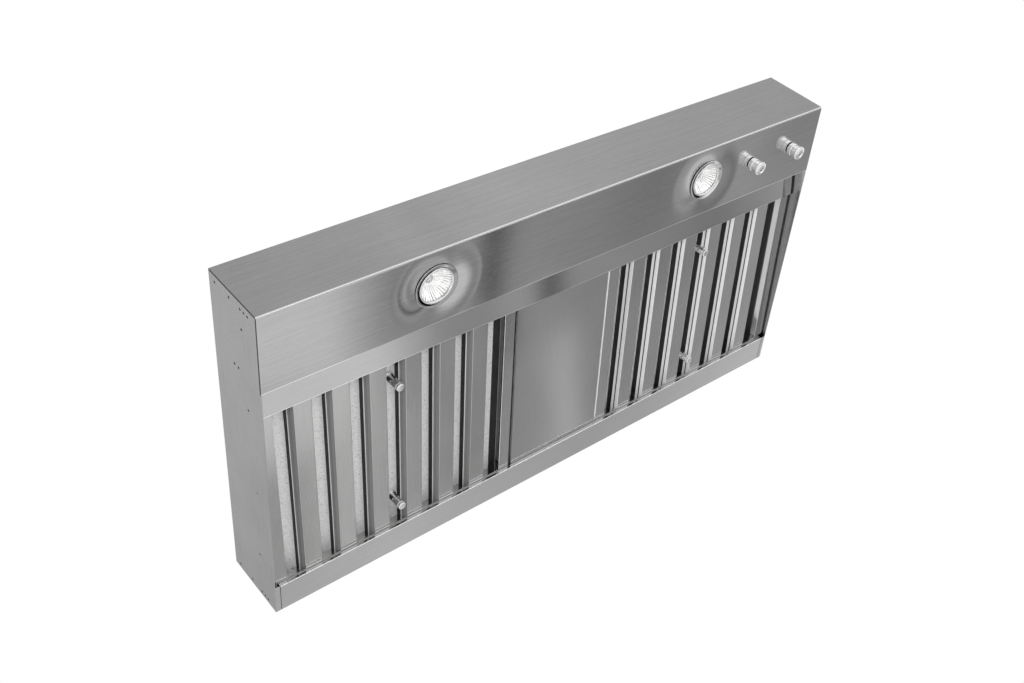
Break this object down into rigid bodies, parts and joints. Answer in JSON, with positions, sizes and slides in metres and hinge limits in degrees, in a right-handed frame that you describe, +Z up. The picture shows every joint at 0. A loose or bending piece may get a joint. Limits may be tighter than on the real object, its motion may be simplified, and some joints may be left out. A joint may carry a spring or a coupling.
{
  "type": "range hood insert",
  "caption": "Stainless range hood insert: an open-bottomed body with baffle filters, recessed lamps, two turned knobs, and a blower box with a damped round duct collar on top.",
  "frame": {"origin": "centre of the fixing hole pattern in the body's top face", "axes": "+X to the right end as a cook faces the hood, +Y to the back, +Z up, out of the top face"},
  "size_m": [0.924, 0.49, 0.351],
  "materials": {
    "body_steel": "horizontally brushed stainless steel",
    "end_steel": "fine brushed stainless steel",
    "ledge_steel": "bright rolled stainless steel, almost a mirror at a low angle",
    "filter_steel": "bright rolled stainless steel",
    "baffle_steel": "bright rolled stainless steel with faint forming ripples",
    "handle_chrome": "polished and turned",
    "knob_chrome": "polished and turned",
    "trim_chrome": "satin polished ring",
    "lamp_glass": "clear",
    "reflector": "faceted bright reflector coating",
    "bulb_glass": "clear quartz capsule",
    "socket_ceramic": "unglazed steatite",
    "spring_steel": "dull spring steel",
    "control_plastic": "moulded phenolic case",
    "nut_brass": "nickel washed brass",
    "shaft_steel": "ground steel",
    "transformer_case": "black enamel",
    "galvanised": "galvanised sheet with a soft spangle",
    "terminal_plastic": "moulded nylon",
    "cable": "black sleeved wiring",
    "motor_paint": "black enamel",
    "screw_zinc": "bright zinc",
    "wheel_steel": "galvanised blades"
  },
  "bodies": {
    "hood": {"front_panel": "body_steel", "left_end_panel": "end_steel", "right_end_panel": "end_steel", "rear_panel": "ledge_steel", "top_panel": "galvanised", "filter_ledge": "ledge_steel", "rear_stop_rail": "ledge_steel", "rear_corner_brackets": "end_steel", "centre_spacer": "filter_steel", "fan_speed_control": "control_plastic", "light_dimmer_control": "control_plastic", "control_lock_nuts": "nut_brass", "lamp_transformer": "transformer_case", "junction_box": "galvanised", "junction_box_cover": "galvanised", "terminal_block": "terminal_plastic", "wiring_loom": "cable", "blower_box": "galvanised", "scroll_band": "galvanised", "scroll_left_plate": "galvanised", "scroll_right_plate": "galvanised", "motor": "motor_paint", "motor_bracket": "spring_steel", "motor_lead": "cable", "blower_box_screws": "screw_zinc", "duct_collar": "galvanised", "collar_screws": "screw_zinc", "damper_pin": "shaft_steel", "left_lamp_trim": "trim_chrome", "left_lamp_glass": "lamp_glass", "left_lamp_reflector": "reflector", "left_lamp_bulb": "bulb_glass", "left_lamp_socket": "socket_ceramic", "left_lamp_springs": "spring_steel", "right_lamp_trim": "trim_chrome", "right_lamp_glass": "lamp_glass", "right_lamp_reflector": "reflector", "right_lamp_bulb": "bulb_glass", "right_lamp_socket": "socket_ceramic", "right_lamp_springs": "spring_steel"},
    "left_filter": {"left_filter_frame": "filter_steel", "left_filter_front_baffles": "filter_steel", "left_filter_rear_baffles": "baffle_steel", "left_filter_handles": "handle_chrome", "left_filter_handle_screws": "screw_zinc"},
    "right_filter": {"right_filter_frame": "filter_steel", "right_filter_front_baffles": "filter_steel", "right_filter_rear_baffles": "baffle_steel", "right_filter_handles": "handle_chrome", "right_filter_handle_screws": "screw_zinc"},
    "fan_speed_dial": {"fan_speed_knob": "knob_chrome", "fan_speed_shaft": "shaft_steel"},
    "light_dimmer_dial": {"light_dimmer_knob": "knob_chrome", "light_dimmer_shaft": "shaft_steel"},
    "blower_rotor": {"wheel_centre_plate": "wheel_steel", "wheel_blades": "wheel_steel", "wheel_end_rings": "wheel_steel", "motor_shaft": "shaft_steel"},
    "front_flap": {"front_damper_flap": "galvanised"},
    "rear_flap": {"rear_damper_flap": "galvanised"}
  },
  "joints": [
    {"name": "left_filter_slide", "type": "slide", "parent": "hood", "child": "left_filter", "axis": [0, -0.9989, 0.0479], "range_m": [0, 0.014]},
    {"name": "right_filter_slide", "type": "slide", "parent": "hood", "child": "right_filter", "axis": [0, -0.9989, 0.0479], "range_m": [0, 0.014]},
    {"name": "fan_speed_turn", "type": "hinge", "parent": "hood", "child": "fan_speed_dial", "pos_m": [0.323, -0.1912, -0.105], "axis": [0, 0, 1], "range_deg": [0, 270]},
    {"name": "light_dimmer_turn", "type": "hinge", "parent": "hood", "child": "light_dimmer_dial", "pos_m": [0.4075, -0.1912, -0.105], "axis": [0, 0, 1], "range_deg": [0, 270]},
    {"name": "blower_spin", "type": "hinge", "parent": "hood", "child": "blower_rotor", "pos_m": [0, -0.005, 0.096], "axis": [1, 0, 0], "continuous": true},
    {"name": "front_flap_lift", "type": "hinge", "parent": "hood", "child": "front_flap", "pos_m": [0, 0.05, 0.189], "axis": [-1, 0, 0], "range_deg": [0, 80]},
    {"name": "rear_flap_lift", "type": "hinge", "parent": "hood", "child": "rear_flap", "pos_m": [0, 0.05, 0.189], "axis": [1, 0, 0], "range_deg": [0, 80]}
  ]
}
